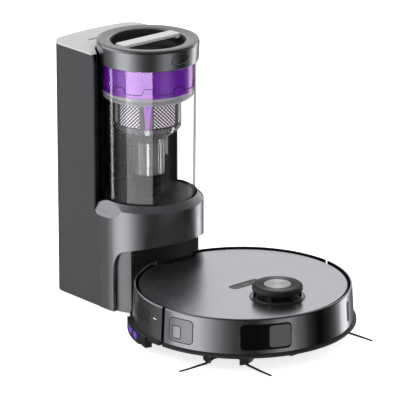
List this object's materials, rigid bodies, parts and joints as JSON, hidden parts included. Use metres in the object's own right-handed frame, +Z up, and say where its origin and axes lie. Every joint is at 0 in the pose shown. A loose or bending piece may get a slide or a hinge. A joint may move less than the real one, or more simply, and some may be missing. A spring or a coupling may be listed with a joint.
{
  "type": "robot vacuum with emptying station",
  "caption": "Disc robot vacuum with lidar turret, docked at a tall bagless emptying station with a clear cyclone dust cup.",
  "frame": {"origin": "on the floor, at the middle of the docked set's footprint", "axes": "+Z up, the robot's bumper faces -Y and the station's back faces +Y, +X is on the right seen from the front"},
  "size_m": [0.3616, 0.5544, 0.437],
  "materials": {
    "tower_grey": "satin warm dark grey",
    "top_grey": "satin light grey",
    "gunmetal": "satin metallic gunmetal",
    "black_plastic": "satin black",
    "light_trim": "satin light grey",
    "light_slot": "dark smoked",
    "rubber_black": "matt",
    "tyre": "matt",
    "steel": "plain",
    "clear": "clear",
    "purple_clear": "translucent purple",
    "smoke_clear": "smoked",
    "mesh": "perforated",
    "filter": "pleated",
    "board": "solder mask",
    "deck_grey": "brushed satin",
    "gloss_black": "high gloss",
    "cap_grey": "satin gunmetal",
    "badge_silver": "brushed",
    "key_grey": "satin",
    "key_dark": "gloss",
    "battery_wrap": "wrap",
    "dust_box_smoke": "smoked",
    "brush": "purple vanes",
    "side_brush": "black",
    "latch_purple": "purple",
    "mop_cloth": "microfibre pile"
  },
  "bodies": {
    "station": {"station_base": "black_plastic", "station_feet": "rubber_black", "station_screws": "steel", "tower_shell": "tower_grey", "tower_top": "top_grey", "light_bar": "light_slot", "cup_recess": "black_plastic", "front_collar": "gunmetal", "inner_column": "gunmetal", "niche_panel": "black_plastic", "intake_seal": "rubber_black", "charging_contacts": "steel", "dust_duct": "black_plastic", "suction_motor": "black_plastic", "exhaust_grille": "black_plastic", "power_board": "board", "power_inlet": "black_plastic"},
    "fan": {"fan_impeller": "black_plastic"},
    "dust_cup": {"canister": "clear", "bottom_flap": "black_plastic", "cyclone_ring": "purple_clear", "ridge_ring": "smoke_clear", "mesh_screen": "mesh", "cyclone_cones": "purple_clear", "dust_tube": "smoke_clear"},
    "cup_lid": {"lid_ring": "gunmetal", "lid_bowl": "black_plastic", "lid_handle": "light_trim", "cup_filter": "filter"},
    "cup_release": {"release_button": "gunmetal"},
    "robot": {"chassis": "black_plastic", "rear_shell": "gloss_black", "deck": "deck_grey", "lidar_base": "black_plastic", "lidar_cap": "cap_grey", "lidar_badge": "badge_silver", "main_board": "board", "battery": "battery_wrap", "dust_box": "dust_box_smoke", "blower": "dust_box_smoke", "mop_bracket": "black_plastic", "mop_pad": "mop_cloth"},
    "bumper": {"bumper": "gloss_black", "bumper_lip": "black_plastic", "bumper_windows": "gloss_black"},
    "lidar": {"lidar_rotor": "black_plastic"},
    "clean_key": {"clean_button": "key_grey"},
    "power_key": {"power_button": "key_dark"},
    "dock_key": {"dock_button": "key_grey"},
    "arm_left": {"wheel_arm_left": "black_plastic"},
    "arm_right": {"wheel_arm_right": "black_plastic"},
    "drive_left": {"wheel_left": "tyre"},
    "drive_right": {"wheel_right": "tyre"},
    "caster": {"caster_fork": "black_plastic"},
    "caster_roller": {"caster_wheel": "tyre"},
    "roller_brush": {"main_brush": "brush"},
    "sweeper_left": {"side_brush_left": "side_brush"},
    "sweeper_right": {"side_brush_right": "side_brush"},
    "latch_left": {"mop_latch_left": "latch_purple"},
    "latch_right": {"mop_latch_right": "latch_purple"}
  },
  "joints": [
    {"name": "robot_drive_off", "type": "slide", "parent": "station", "child": "robot", "axis": [0, -1, 0], "range_m": [0, 0.3]},
    {"name": "cup_lift", "type": "slide", "parent": "station", "child": "dust_cup", "axis": [0, 0, 1], "range_m": [0, 0.15]},
    {"name": "lid_twist", "type": "hinge", "parent": "dust_cup", "child": "cup_lid", "pos_m": [0, 0.1287, 0.42], "axis": [0, 0, 1], "range_deg": [0, 25]},
    {"name": "cup_release_press", "type": "slide", "parent": "cup_lid", "child": "cup_release", "axis": [0, 1, 0], "range_m": [0, 0.002], "stiffness_N_per_m": 500},
    {"name": "fan_spin", "type": "hinge", "parent": "station", "child": "fan", "pos_m": [0.051, 0.2267, 0.14], "axis": [0, 0, 1], "continuous": true},
    {"name": "bumper_press", "type": "slide", "parent": "robot", "child": "bumper", "axis": [0, 1, 0], "range_m": [0, 0.0025], "stiffness_N_per_m": 1000},
    {"name": "lidar_spin", "type": "hinge", "parent": "robot", "child": "lidar", "pos_m": [0, -0.1807, 0.09], "axis": [0, 0, 1], "continuous": true},
    {"name": "clean_press", "type": "slide", "parent": "robot", "child": "clean_key", "axis": [0, 0, -1], "range_m": [0, 0.001], "stiffness_N_per_m": 500},
    {"name": "power_press", "type": "slide", "parent": "robot", "child": "power_key", "axis": [0, 0, -1], "range_m": [0, 0.001], "stiffness_N_per_m": 500},
    {"name": "dock_press", "type": "slide", "parent": "robot", "child": "dock_key", "axis": [0, 0, -1], "range_m": [0, 0.001], "stiffness_N_per_m": 500},
    {"name": "arm_drop_left", "type": "hinge", "parent": "robot", "child": "arm_left", "pos_m": [-0.091, -0.0387, 0.03], "axis": [1, 0, 0], "range_deg": [0, 18]},
    {"name": "wheel_spin_left", "type": "hinge", "parent": "arm_left", "child": "drive_left", "pos_m": [-0.11, -0.0747, 0.034], "axis": [1, 0, 0], "continuous": true},
    {"name": "arm_drop_right", "type": "hinge", "parent": "robot", "child": "arm_right", "pos_m": [0.091, -0.0387, 0.03], "axis": [1, 0, 0], "range_deg": [0, 18]},
    {"name": "wheel_spin_right", "type": "hinge", "parent": "arm_right", "child": "drive_right", "pos_m": [0.11, -0.0747, 0.034], "axis": [1, 0, 0], "continuous": true},
    {"name": "caster_swivel", "type": "hinge", "parent": "robot", "child": "caster", "pos_m": [0, -0.2207, 0.03], "axis": [0, 0, 1], "continuous": true},
    {"name": "caster_roll", "type": "hinge", "parent": "caster", "child": "caster_roller", "pos_m": [0, -0.2157, 0.012], "axis": [1, 0, 0], "continuous": true},
    {"name": "roller_brush_spin", "type": "hinge", "parent": "robot", "child": "roller_brush", "pos_m": [0, -0.0867, 0.02], "axis": [1, 0, 0], "continuous": true},
    {"name": "side_brush_spin_left", "type": "hinge", "parent": "robot", "child": "sweeper_left", "pos_m": [-0.103, -0.1837, 0.017], "axis": [0, 0, 1], "continuous": true},
    {"name": "side_brush_spin_right", "type": "hinge", "parent": "robot", "child": "sweeper_right", "pos_m": [0.103, -0.1837, 0.017], "axis": [0, 0, 1], "continuous": true},
    {"name": "latch_press_left", "type": "slide", "parent": "robot", "child": "latch_left", "axis": [0.9135, -0.4067, 0], "range_m": [0, 0.0015], "stiffness_N_per_m": 800},
    {"name": "latch_press_right", "type": "slide", "parent": "robot", "child": "latch_right", "axis": [-0.9135, -0.4067, 0], "range_m": [0, 0.0015], "stiffness_N_per_m": 800}
  ]
}
